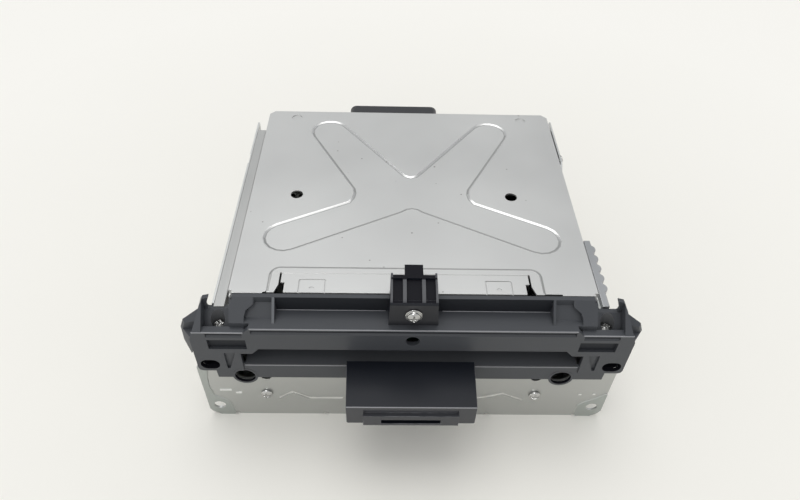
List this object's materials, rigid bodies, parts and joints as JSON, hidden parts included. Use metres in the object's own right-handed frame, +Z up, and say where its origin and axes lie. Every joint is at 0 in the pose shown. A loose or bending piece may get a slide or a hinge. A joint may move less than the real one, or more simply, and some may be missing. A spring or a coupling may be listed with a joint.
{
  "type": "car radio with disc player",
  "caption": "Car radio body without its front panel: steel case, moulded front bracket with disc slot, connector box, heat sink and a working disc deck inside.",
  "frame": {"origin": "centre of the underside of the whole part", "axes": "+Z up, +Y from the front with its disc slot to the rear with its sockets, +X to the right seen from the front"},
  "size_m": [0.214, 0.2056, 0.0907],
  "materials": {
    "sheet_steel": "zinc plated sheet, soft sheen",
    "sink_aluminium": "plain extrusion, satin",
    "bracket_plastic": "dark grey moulding, fine grain",
    "dark_plastic": "near black moulding, satin",
    "gear_plastic": "natural white gear plastic",
    "rubber": "soft black rubber",
    "slot_felt": "black felt",
    "circuit_board": "green laminate",
    "screw_steel": "bright plated steel",
    "contact_brass": "bright contact metal",
    "lens_glass": "clear lens"
  },
  "bodies": {
    "chassis": {"top_cover": "sheet_steel", "cover_screw_left": "screw_steel", "cover_screw_right": "screw_steel", "cover_screw_side": "screw_steel", "chassis_tub": "sheet_steel", "heat_sink": "sink_aluminium", "heat_sink_screw_low": "screw_steel", "heat_sink_screw_high": "screw_steel", "main_socket": "bracket_plastic", "signal_pins": "contact_brass", "power_blades": "contact_brass", "socket_board": "circuit_board", "aerial_socket": "dark_plastic", "main_board": "circuit_board", "board_screw_left": "screw_steel", "board_screw_right": "screw_steel", "power_amplifier": "dark_plastic", "filter_capacitor_front": "dark_plastic", "filter_capacitor_rear": "dark_plastic", "tuner_can": "screw_steel", "control_chip": "dark_plastic", "sound_chip": "dark_plastic", "front_plate": "sheet_steel", "front_plate_screw_left": "screw_steel", "front_plate_screw_right": "screw_steel", "front_bracket": "bracket_plastic", "ear_screw_left": "screw_steel", "ear_screw_right": "screw_steel", "clip_tower": "dark_plastic", "tower_screw": "screw_steel", "connector_housing": "dark_plastic", "connector_contacts": "contact_brass", "slot_felt": "slot_felt", "left_deck_rail": "sheet_steel", "right_deck_rail": "sheet_steel", "front_left_damper": "rubber", "front_right_damper": "rubber", "rear_left_damper": "rubber", "rear_right_damper": "rubber", "deck_frame": "sheet_steel", "load_motor": "screw_steel", "spindle_motor": "screw_steel", "guide_rod_left": "screw_steel", "guide_rod_right": "screw_steel", "sled_motor": "screw_steel", "clamp_hinge_pin": "screw_steel"},
    "loading_roller": {"roller_shaft": "screw_steel", "load_roller": "rubber", "roller_gear": "gear_plastic"},
    "idler": {"middle_gear": "gear_plastic"},
    "pinion": {"motor_pinion": "contact_brass"},
    "disc_turntable": {"turntable": "dark_plastic"},
    "pickup": {"pickup_sled": "dark_plastic", "objective_lens": "lens_glass"},
    "screw": {"lead_screw": "screw_steel"},
    "clamp": {"clamp_arm": "sheet_steel"},
    "puck": {"clamp_puck": "dark_plastic"}
  },
  "joints": [
    {"name": "roller_spin", "type": "hinge", "parent": "chassis", "child": "loading_roller", "pos_m": [-0.0037, -0.05715, 0.0475], "axis": [1, 0, 0], "continuous": true},
    {"name": "idler_spin", "type": "hinge", "parent": "chassis", "child": "idler", "pos_m": [-0.0687, -0.05575, 0.03156], "axis": [1, 0, 0], "continuous": true},
    {"name": "pinion_spin", "type": "hinge", "parent": "chassis", "child": "pinion", "pos_m": [-0.0687, -0.04215, 0.03156], "axis": [1, 0, 0], "continuous": true},
    {"name": "turntable_spin", "type": "hinge", "parent": "chassis", "child": "disc_turntable", "pos_m": [-0.0037, 0.00225, 0.045], "axis": [0, 0, 1], "continuous": true},
    {"name": "pickup_slide", "type": "slide", "parent": "chassis", "child": "pickup", "axis": [0, 1, 0], "range_m": [0, 0.034]},
    {"name": "screw_spin", "type": "hinge", "parent": "chassis", "child": "screw", "pos_m": [0.0215, 0.042, 0.0396], "axis": [0, 1, 0], "range_deg": [0, 4080]},
    {"name": "clamp_swing", "type": "hinge", "parent": "chassis", "child": "clamp", "pos_m": [-0.0037, 0.06375, 0.0625], "axis": [1, 0, 0], "range_deg": [0, 2.9]},
    {"name": "puck_spin", "type": "hinge", "parent": "clamp", "child": "puck", "pos_m": [-0.0037, 0.00225, 0.06], "axis": [0, 0, 1], "continuous": true}
  ],
  "couplings": [
    {"joint": "idler_spin", "follows": "roller_spin", "ratio": -0.66667},
    {"joint": "pinion_spin", "follows": "roller_spin", "ratio": 1.6},
    {"joint": "screw_spin", "follows": "pickup_slide", "rad_per_m": 2094.4}
  ]
}
